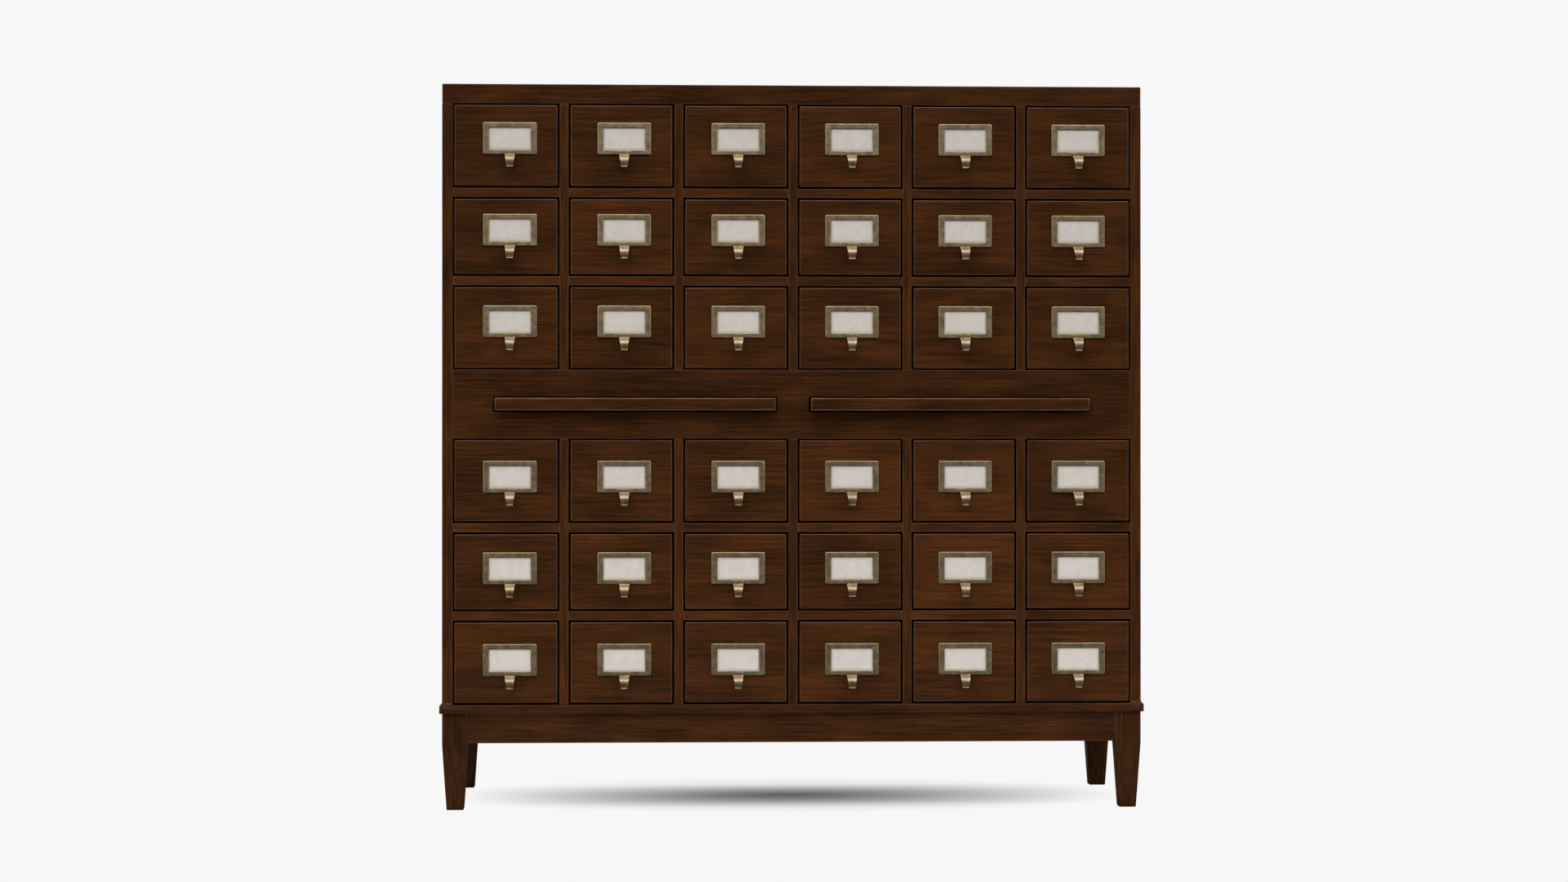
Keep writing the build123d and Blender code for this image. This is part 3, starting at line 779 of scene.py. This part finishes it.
def paper():
    """Plain card stock, faintly mottled, warmer and darker towards its edges."""
    nodes = Surface("card_stock")
    local, in_mm = own_place(nodes)
    place = shifted(nodes, in_mm, SMALL_SEED_REACH)
    blotches = nodes.noise(place, BLOTCHES, roughness=0.5)
    fibre = nodes.noise(place, PAPER_FIBRE)
    colour = nodes.ramp(nodes.span(blotches, 0.3, 0.7), CARD_COLOURS)
    border = nodes.span(edge_distance(nodes, local), CARD_BORDER, CARD_BORDER_FULL)
    colour = nodes.mix(nodes.math("MULTIPLY", border, 0.7), colour, CARD_EDGE_TINT)
    colour = nodes.mix(nodes.math("MULTIPLY", fibre, 0.10), colour, CARD_FIBRES)
    nodes.set("Base Color", colour)
    nodes.set("Roughness", 0.85)
    nodes.set("Specular IOR Level", 0.15)
    nodes.bump(fibre, strength=0.2, distance=0.05 * MM)
    return nodes.material


def steel(name, carried=True):
    """Zinc-plated steel with a dull, slightly blotchy film."""
    nodes = Surface(name)
    _, in_mm = own_place(nodes, carried)
    film = nodes.noise(in_mm, STEEL_FILM, detail=4.0)
    colour = nodes.ramp(film, STEEL_COLOURS)
    nodes.set("Base Color", colour)
    nodes.set("Metallic", 1.0)
    nodes.set("Roughness", nodes.span(film, 0.3, 0.7, 0.32, 0.5))
    nodes.bump(film, strength=0.15, distance=0.05 * MM)
    return nodes.material


# Dark, middle, light, and rubbed, which also paints the edge highlight
CASE_STAIN = (srgb(41, 23, 8), srgb(61, 34, 14), srgb(83, 45, 18), srgb(132, 90, 70))
# The base stain is a darker copy of the case stain: painted shade on the moulding and legs
SHADED_BASE_STAIN = (srgb(35, 20, 7), srgb(52, 29, 12), srgb(71, 39, 16), srgb(96, 64, 50))
BARE_WOOD = (srgb(112, 78, 50), srgb(140, 102, 69), srgb(164, 124, 88), srgb(178, 142, 106))
PLYWOOD = (srgb(56, 34, 20), srgb(76, 49, 30), srgb(96, 64, 42), srgb(120, 88, 62))

STAINED = wood("stained_wood", CASE_STAIN, wear_and_highlight=0.12, specular=0.13)
# More rubbed arrises on the drawer fronts and slides: wear, and a painted highlight along the edges
HANDLED_AND_HIGHLIT = wood("stained_wood_handled_highlit", CASE_STAIN, wear_and_highlight=0.62, specular=0.13)
# darker copy of the stain for the moulding and legs: painted shade
SHADED_BASE_WOOD = wood("stained_wood_base_shaded", SHADED_BASE_STAIN, wear_and_highlight=0.12, specular=0.1)
DRAWER_SIDE = wood("drawer_box_wood", BARE_WOOD, wear_and_highlight=0.3, roughness=0.6)
BACK_PLY = wood("back_plywood", PLYWOOD, wear_and_highlight=0.3, roughness=0.6)
BLOCK_WOOD = wood("block_wood", BARE_WOOD, wear_and_highlight=0.0, roughness=0.6, carried=False)
BRASS = brass()
PAPER = paper()
STEEL = steel("zinc_steel")
BOLT_STEEL = steel("zinc_steel_bolts", carried=False)


# ---------------------------------------------------------------- pieces


def build_top():
    low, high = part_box("top_panel")
    shape = Shape()
    add_board(shape, low, high, X_AXIS, TOP_ROUND)
    shape.build("top_slab", STAINED, ROOT, "top_panel")


def build_sides():
    """Upright side panels, each with a rebate at its rear for the back panel."""
    back_low, back_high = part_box("back_panel")
    for node in ("left_side_panel", "right_side_panel"):
        low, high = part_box(node)
        on_left = low.x < 0
        outside, inside = (low.x, high.x) if on_left else (high.x, low.x)
        lap = back_low.x if on_left else back_high.x
        outline = [
            (outside, low.y, low.z),
            (inside, low.y, low.z),
            (inside, back_low.y, low.z),
            (lap, back_low.y, low.z),
            (lap, high.y, low.z),
            (outside, high.y, low.z),
        ]
        if not on_left:
            outline.reverse()
        work = bmesh.new()
        face = work.faces.new([work.verts.new(corner) for corner in outline])
        extrude(work, [face], (0, 0, high.z - low.z))
        # the side's inner face gets painted shade
        inward = (1.0, 0.0, 0.0) if on_left else (-1.0, 0.0, 0.0)
        shape = Shape()
        add_eased(shape, work, Board(low, high, Z_AXIS), inward)
        shape.build(node + "_board", STAINED, ROOT, node)


def build_back():
    """The thin back panel, set in by a little for the domes of its screws."""
    panel_low, panel_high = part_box("back_panel")
    face_y = panel_high.y - BACK_SCREW_ROOM
    sheet = Shape()
    add_board(sheet, panel_low, (panel_high.x, face_y, panel_high.z), Z_AXIS, BOARD_ROUND)
    sheet.build("back_panel_sheet", BACK_PLY, ROOT, "back_panel")
    screws = Shape()
    for low, high in islands("back_panel_screws"):
        add_screw_head(screws, low, high, face_y, BACK_SCREW_RISE, Board(low, high, Y_AXIS))
    screws.build("back_screw_heads", STEEL, ROOT, "back_panel_screws")


def build_boards(name, node, grain, radius, shades=None):
    """One piece per node: a rounded board for each separate solid in it."""
    shape = Shape()
    for low, high in islands(node):
        add_board(shape, low, high, grain, radius, shades=shades)
    shape.build(name, STAINED, ROOT, node)


def build_middle_rail():
    """The slotted board across the middle, cut as cells round its two slots."""
    low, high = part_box("middle_rail")
    slides = [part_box(slide) for slide in SLIDES]
    slide_z = slides[0][0].z
    xs = [low.x]
    for slide_low, slide_high in slides:
        xs += [slide_low.x - SLOT_GAP, slide_high.x + SLOT_GAP]
    xs.append(high.x)
    zs = [low.z, slide_z - SLOT_GAP, slide_z + SLIDE_THICKNESS + SLOT_GAP, high.z]
    # the slots are left open: the cells second from the bottom, in the strips of the slides
    slots = ((1, 1), (3, 1))
    work = bmesh.new()
    grid = [[work.verts.new((x, low.y, z)) for z in zs] for x in xs]
    faces = []
    for i, k in itertools.product(range(len(xs) - 1), range(len(zs) - 1)):
        if (i, k) not in slots:
            corners = (grid[i][k], grid[i + 1][k], grid[i + 1][k + 1], grid[i][k + 1])
            faces.append(work.faces.new(corners))
    extrude(work, faces, (0, high.y - low.y, 0))
    shape = Shape()
    add_eased(shape, work, Board(low, high, X_AXIS))
    shape.build("middle_rail_board", STAINED, ROOT, "middle_rail")


def moulding_section():
    """Outward distance and height round the base moulding's section, from its lower back."""
    low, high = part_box("base_moulding")
    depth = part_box("left_side_panel")[0].x - low.x
    ease = MOULDING_EASE
    face_top = high.z - COVE_HEIGHT
    points = [
        (0.0, low.z),
        # lower arris
        (depth - ease, low.z),
        (depth - 0.3 * ease, low.z + 0.3 * ease),
        (depth, low.z + ease),
        # upper arris
        (depth, face_top - ease),
        (depth - 0.2 * ease, face_top - 0.3 * ease),
        (depth - 0.6 * ease, face_top + 0.1 * ease),
    ]
    # cove, up to the case
    for step in range(1, COVE_STEPS + 1):
        share = step / COVE_STEPS
        hollow = COVE_HOLLOW * math.sin(math.pi * share)
        height = face_top + COVE_HEIGHT * share - hollow
        points.append(((depth - 0.7 * hollow) * (1 - share), height))
    return np.array(points)


def build_moulding():
    """Front and side lengths, mitred; the front's top is planed off under the drawers."""
    section = moulding_section()
    planed = section.copy()
    planed[:, 1] = np.minimum(planed[:, 1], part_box("bottom_panel")[1].z)
    low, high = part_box("base_moulding")
    side_low, side_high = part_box("left_side_panel")
    outer = side_low.x
    inner = side_high.x
    front_y = side_low.y
    back_y = side_high.y
    shape = Shape()

    def front_ring(x, profile, mitre):
        across = x + mitre * profile[:, 0]
        return np.column_stack((across, front_y - profile[:, 0], profile[:, 1]))

    rings = [
        front_ring(outer, section, -1),
        front_ring(inner, section, 0),
        front_ring(inner + PLANED_STEP, planed, 0),
        front_ring(-inner - PLANED_STEP, planed, 0),
        front_ring(-inner, section, 0),
        front_ring(-outer, section, 1),
    ]
    add_loft(shape, rings, Board(low, (high.x, front_y, high.z), X_AXIS))
    for sign in (-1, 1):
        x = -sign * outer
        front_end = front_ring(x, section, sign)
        back_end = front_end.copy()
        back_end[:, Y_AXIS] = back_y
        edges = sorted((x, x + sign * section[:, 0].max()))
        board = Board((edges[0], low.y, low.z), (edges[1], back_y, high.z), Y_AXIS)
        add_loft(shape, [front_end, back_end], board)
    shape.build("base_moulding_lengths", SHADED_BASE_WOOD, ROOT, "base_moulding")


def build_legs():
    """Square legs that taper on every face, with softly rounded arrises."""
    for node in LEGS:
        low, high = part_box(node)
        centre = ((low.x + high.x) / 2, (low.y + high.y) / 2)
        half = (high.x - low.x) / 2
        levels = [(height, FOOT_HALF - inset) for height, inset in FOOT_EASE]
        for share in (0.25, 0.5, 0.75, 1 - KNEE_SOFTENING / KNEE_HEIGHT):
            levels.append((KNEE_HEIGHT * share, between(FOOT_HALF, half, share)))
        levels.append((KNEE_HEIGHT, half - KNEE_INSET))
        levels.append((KNEE_HEIGHT + KNEE_SOFTENING, half))
        levels.append((high.z - LEG_TOP_EASE, half))
        levels.append((high.z, half - LEG_TOP_INSET))
        rings = []
        for z, size in levels:
            ring = rounded_rectangle(size, size, LEG_ROUND, steps=4)
            rings.append(at_height(ring + centre, low.z + z))
        shape = Shape()
        add_loft(shape, rings, Board(low, high, Z_AXIS))
        shape.build(node + "_post", SHADED_BASE_WOOD, ROOT, node)


def add_screw_head(shape, low, high, face_y, rise, board):
    """A domed screw head with a cross recess, on a face that looks to the rear."""
    centre_x, _, centre_z = (low + high) / 2
    radius = (high[0] - low[0]) / 2
    rings = []
    for share in HEAD_SHARES:
        ring = []
        for step in range(HEAD_STEPS):
            angle = 2 * math.pi * step / HEAD_STEPS
            x = math.cos(angle) * radius * share
            z = math.sin(angle) * radius * share
            height = rise * (1 - share**3)
            across = min(abs(x), abs(z))
            if share < RECESS_REACH and across < RECESS_HALF * radius:
                height -= RECESS_DEPTH * rise
            ring.append((centre_x + x, face_y + height, centre_z + z))
        rings.append(np.array(ring))
    base = rings[0].copy()
    base[:, Y_AXIS] = face_y - HEAD_SUNK
    add_loft(shape, [base] + rings, board)


def lipping_outline(low, high):
    """A writing slide's lipping from above, its two front corners rounded."""
    outline = [(high[0], high[1]), (low[0], high[1])]
    centre_y = low[1] + LIPPING_CORNER
    for centre_x, start in ((low[0] + LIPPING_CORNER, 180), (high[0] - LIPPING_CORNER, 270)):
        for step in range(7):
            angle = math.radians(start + 15 * step)
            x = centre_x + LIPPING_CORNER * math.cos(angle)
            outline.append((x, centre_y + LIPPING_CORNER * math.sin(angle)))
    return outline


def build_writing_slide(node):
    """The pull-out board, its rounded front lipping and its two pegs."""
    shape = Shape()
    for low, high in islands(node):
        width, depth, _ = high - low
        if depth > LONG_SIDE:
            add_board(shape, low, high, X_AXIS, BOX_ROUND)
        elif width > LONG_SIDE:
            board = Board(low, high, X_AXIS)
            add_outline_slab(shape, lipping_outline(low, high), low[2], high[2], LIPPING_ROUND, board)
        else:
            # all but round, so that no side of the outline is without length
            circle = rounded_rectangle(width / 2, width / 2, 0.999 * width / 2, steps=7)
            outline = circle + ((low + high) / 2)[:2]
            board = Board(low, high, Z_AXIS)
            add_outline_slab(shape, outline, low[2], high[2], PEG_ROUND, board)
    shape.build(node + "_panel", HANDLED_AND_HIGHLIT, node, node)


def add_holder(shape, low, high, face_y, board):
    """The label holder's frame: raised outer bead, shallow hollow band, lip at the window."""
    plate_low_z = low[2] + HOOK_DROP
    centre_x = (low[0] + high[0]) / 2
    centre_z = (plate_low_z + high[2]) / 2
    outer_x = (high[0] - low[0]) / 2
    outer_z = (high[2] - plate_low_z) / 2
    rings = []
    finish = []
    for share, height, rubbed_and_lit in HOLDER_SECTION:
        half_x = between(outer_x, WINDOW_HALF[0], share)
        half_z = between(outer_z, WINDOW_HALF[1], share)
        corner = between(HOLDER_CORNER, WINDOW_CORNER, share)
        loop = rounded_rectangle(half_x, half_z, corner, steps=4)
        x = loop[:, 0] + centre_x
        y = np.full(len(loop), face_y - height * MM)
        z = loop[:, 1] + centre_z - WINDOW_DROP * share
        rings.append(np.column_stack((x, y, z)))
        # rubbed wear with a painted highlight on the bead
        finish.extend([rubbed_and_lit] * len(loop))
    add_loft(shape, rings, board, wrap=True, finish=finish)


def smooth_path(points, steps):
    """A Catmull-Rom curve through the points."""
    points = np.array(points, float)
    ends = np.vstack((2 * points[0] - points[1], points, 2 * points[-1] - points[-2]))
    path = []
    for index in range(1, len(ends) - 2):
        before, here, there, after = ends[index - 1 : index + 3]
        first = there - before
        second = 2 * before - 5 * here + 4 * there - after
        third = 3 * here - before - 3 * there + after
        for step in range(steps):
            share = step / steps
            path.append(here + 0.5 * (first * share + second * share**2 + third * share**3))
    path.append(points[-1])
    return np.array(path)


def add_hook(shape, low, high, face_y, board):
    """The finger hook: a tab on the holder's lower bar, bent out, down and lipped at the tip."""
    centre_x = (low[0] + high[0]) / 2
    edge_z = low[2] + HOOK_DROP
    path = smooth_path(HOOK_SIDE, 4)
    rings = []
    finish = []
    for index, (forward, up, rubbed_and_lit) in enumerate(path):
        before = path[max(index - 1, 0)]
        after = path[min(index + 1, len(path) - 1)]
        along = (after - before)[:2]
        along /= np.linalg.norm(along)
        outward = np.array((-along[1], along[0])) if index else np.array((1.0, 0.0))
        middle = np.array((forward, up))
        half = np.interp(up * MM, HOOK_HEIGHTS, HOOK_HALVES)
        ring = []
        for share, lift, edge in HOOK_ACROSS:
            spot = (middle + outward * lift) * MM
            ring.append((centre_x + half * share, face_y - spot[0], edge_z + spot[1]))
            # rubbed wear with painted highlight on the bend and side edges, painted shade on the tab
            finish.append(min(1.0, 0.75 * rubbed_and_lit + 0.4 * edge))
        back = middle * MM - outward * HOOK_THICKNESS
        for share in HOOK_UNDERSIDE:
            y = face_y - max(back[0], HOOK_BACK)
            ring.append((centre_x + half * share, y, edge_z + back[1]))
            finish.append(0.1)
        rings.append(np.array(ring))
    add_loft(shape, rings, board, finish=finish)


def sort_drawer(node):
    """Name a drawer's separate solids by their sizes."""
    parts = {"sides": [], "screws": []}
    for low, high in islands(node):
        width, depth, height = high - low
        if depth < CARD_DEPTH_LIMIT:
            parts["card"] = (low, high)
        elif depth > LONG_DEPTH and height < FLOOR_HEIGHT_LIMIT:
            parts["floor"] = (low, high)
        elif depth > LONG_DEPTH:
            parts["sides"].append((low, high))
        elif width > FRONT_WIDTH:
            parts["front"] = (low, high)
        elif width > BACK_WIDTH:
            parts["back"] = (low, high)
        elif width > HOLDER_WIDTH:
            parts["holder"] = (low, high)
        else:
            parts["screws"].append((low, high))
    return parts


def build_drawer_front(node, low, high):
    board = Board(low, high, X_AXIS)
    trim = np.array((FRONT_TRIM, 0.0, FRONT_TRIM))
    front = Shape()
    # FRONT_SHADES paint shade on the front's outer arrises and sides, where the gaps are
    add_board(front, low + trim, high - trim, X_AXIS, FRONT_ROUND, board, FRONT_SHADES)
    front.build(node + "_front", HANDLED_AND_HIGHLIT, node, node)


def build_drawer_box(node, parts):
    """The two sides, the back and the floor, all of one tone."""
    tone = chance.uniform(0.2, 0.8)
    boards = [(side, Y_AXIS) for side in parts["sides"]]
    boards += [(parts["back"], X_AXIS), (parts["floor"], X_AXIS)]
    box = Shape()
    for (low, high), grain in boards:
        board = Board(low, high, grain)
        board.tone = tone
        add_board(box, low, high, grain, BOX_ROUND, board)
    box.build(node + "_box", DRAWER_SIDE, node, node)


def build_drawer(node):
    """A drawer as five pieces: front, box, screws, label pull and card."""
    parts = sort_drawer(node)
    front_low, front_high = parts["front"]
    build_drawer_front(node, front_low, front_high)
    build_drawer_box(node, parts)

    screw_board = Board(*parts["holder"], X_AXIS)
    screws = Shape()
    for low, high in parts["screws"]:
        add_screw_head(screws, low, high, front_high[1], PULL_SCREW_RISE, screw_board)
    screws.build(node + "_screws", STEEL, node, node)

    pull_board = Board(*parts["holder"], X_AXIS)
    pull = Shape()
    add_holder(pull, *parts["holder"], front_low[1], pull_board)
    add_hook(pull, *parts["holder"], front_low[1], pull_board)
    pull.build(node + "_label_pull", BRASS, node, node)

    card = Shape()
    add_board(card, *parts["card"], X_AXIS, CARD_ROUND)
    card.build(node + "_card", PAPER, node, node)


def dress_hidden_nodes():
    """Inner CAD nodes keep their shapes and take a material that reads their own coordinates."""
    for node, material in (
        ("slide_guides", BLOCK_WOOD),
        ("drawer_stops", BLOCK_WOOD),
        ("corner_blocks", BLOCK_WOOD),
        ("leg_bolts", BOLT_STEEL),
    ):
        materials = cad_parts[node].data.materials
        materials.clear()
        materials.append(material)


# -------------------------------------------------- stage, light, camera


def floor_material():
    """Paper that glows for the camera, except where the cabinet shades it."""
    nodes = Surface("studio_paper")
    nodes.set("Roughness", 1.0)
    nodes.set("Specular IOR Level", 0.0)
    glow = nodes.tree.nodes.new("ShaderNodeEmission")
    glow.inputs["Color"].default_value = (PALE, PALE, PALE, 1.0)
    place = nodes.tree.nodes.new("ShaderNodeNewGeometry").outputs["Position"]
    from_middle = nodes.vector("SUBTRACT", place, SHADE_MIDDLE)
    oval = (1 / SHADE_HALF[0], 1 / SHADE_HALF[1], 0.0)
    reach = nodes.vector("LENGTH", nodes.vector("MULTIPLY", from_middle, oval))
    bright = nodes.math("MULTIPLY", nodes.math("POWER", reach, SHADE_FALL), SHADE_LIFT)
    bright = nodes.math("MULTIPLY", nodes.math("MINIMUM", bright, 1.0), nodes.ray("Is Camera Ray"))
    away = nodes.vector("LENGTH", place)
    dimmed = nodes.span(away, FLOOR_NEAR, FLOOR_FAR, FLOOR_NEAR_COLOUR, FLOOR_FAR_COLOUR)
    mirrored = nodes.math("MULTIPLY_ADD", nodes.ray("Is Glossy Ray"), MIRROR_DIMMING, 1.0)
    dimmed = nodes.math("MULTIPLY", dimmed, mirrored)
    nodes.set("Base Color", nodes.join(dimmed, dimmed, dimmed))
    blend = nodes.tree.nodes.new("ShaderNodeMixShader")
    for source, socket in zip((bright, nodes.shader.outputs[0], glow.outputs[0]), blend.inputs):
        nodes.link(source, socket)
    nodes.link(blend.outputs[0], nodes.output.inputs[0])
    return nodes.material


def build_stage():
    """A wide floor under the cabinet."""
    ends = ((-1, -1), (1, -1), (1, 1), (-1, 1))
    corners = [(x * STAGE_HALF, y * STAGE_HALF, 0.0) for x, y in ends]
    mesh = bpy.data.meshes.new("studio_floor")
    mesh.from_pydata(corners, [], [(0, 1, 2, 3)])
    mesh.materials.append(floor_material())
    floor = bpy.data.objects.new("studio_floor", mesh)
    bpy.context.scene.collection.objects.link(floor)


def build_key_light():
    """One large soft lamp above the front."""
    light = bpy.data.lights.new("key", "AREA")
    light.shape = "RECTANGLE"
    light.size, light.size_y = KEY_SIZE
    light.energy = KEY_POWER
    lamp = bpy.data.objects.new("key", light)
    lamp.location = KEY_PLACE
    aim = Vector(KEY_TARGET) - Vector(KEY_PLACE)
    lamp.rotation_euler = aim.to_track_quat("-Z", "Y").to_euler()
    bpy.context.scene.collection.objects.link(lamp)


def build_surroundings():
    """Soft studio light: bright above and at the sides, dim straight in front of the cabinet."""
    world = bpy.data.worlds.new("studio")
    bpy.context.scene.world = world
    world.use_nodes = True
    background = world.node_tree.nodes["Background"]
    nodes = Graph(world.node_tree)
    _, y, z = nodes.split(nodes.coordinate("Generated"))
    front = nodes.span(y, *FRONT_TURN)
    above = nodes.span(z, *TOP_TURN)
    level = nodes.math("MULTIPLY_ADD", front, FRONT_GLOW - SIDE_GLOW, SIDE_GLOW)
    level = nodes.math("MULTIPLY_ADD", above, TOP_GLOW - SIDE_GLOW, level)
    lit = nodes.join(level, level, level)
    seen = nodes.mix(nodes.ray("Is Camera Ray"), lit, (PALE, PALE, PALE))
    nodes.link(seen, background.inputs["Color"])
    background.inputs["Strength"].default_value = 1.0


def build_camera():
    camera = bpy.data.cameras.new("camera")
    camera.sensor_width = SENSOR_WIDTH
    camera.lens = CAMERA_LENS
    holder = bpy.data.objects.new("camera", camera)
    holder.location = CAMERA_PLACE
    holder.rotation_euler = (math.radians(90 + CAMERA_PITCH), 0, math.radians(-CAMERA_YAW))
    bpy.context.scene.collection.objects.link(holder)
    bpy.context.scene.camera = holder
    bpy.context.scene.view_settings.view_transform = "Standard"


build_top()
build_sides()
build_back()
build_boards("bottom_board", "bottom_panel", X_AXIS, BOARD_ROUND)
# the uprights, shelves and decks get painted shade where they face into gaps
build_boards("divider_boards", "column_dividers", Z_AXIS, BOARD_ROUND, CASE_SHADES)
build_boards("shelf_boards", "drawer_shelves", X_AXIS, BOARD_ROUND, CASE_SHADES)
build_boards("deck_boards", "middle_decks", X_AXIS, BOARD_ROUND, CASE_SHADES)
build_middle_rail()
build_moulding()
build_legs()
build_boards("front_apron_board", "front_apron", X_AXIS, BOX_ROUND)
build_boards("rear_apron_board", "rear_apron", X_AXIS, BOX_ROUND)
build_boards("side_apron_boards", "side_aprons", Y_AXIS, BOX_ROUND)
for slide in SLIDES:
    build_writing_slide(slide)
for row in range(1, ROWS + 1):
    for column in range(1, COLUMNS + 1):
        build_drawer(f"drawer_r{row}_c{column}")
dress_hidden_nodes()
build_stage()
build_surroundings()
build_key_light()
build_camera()
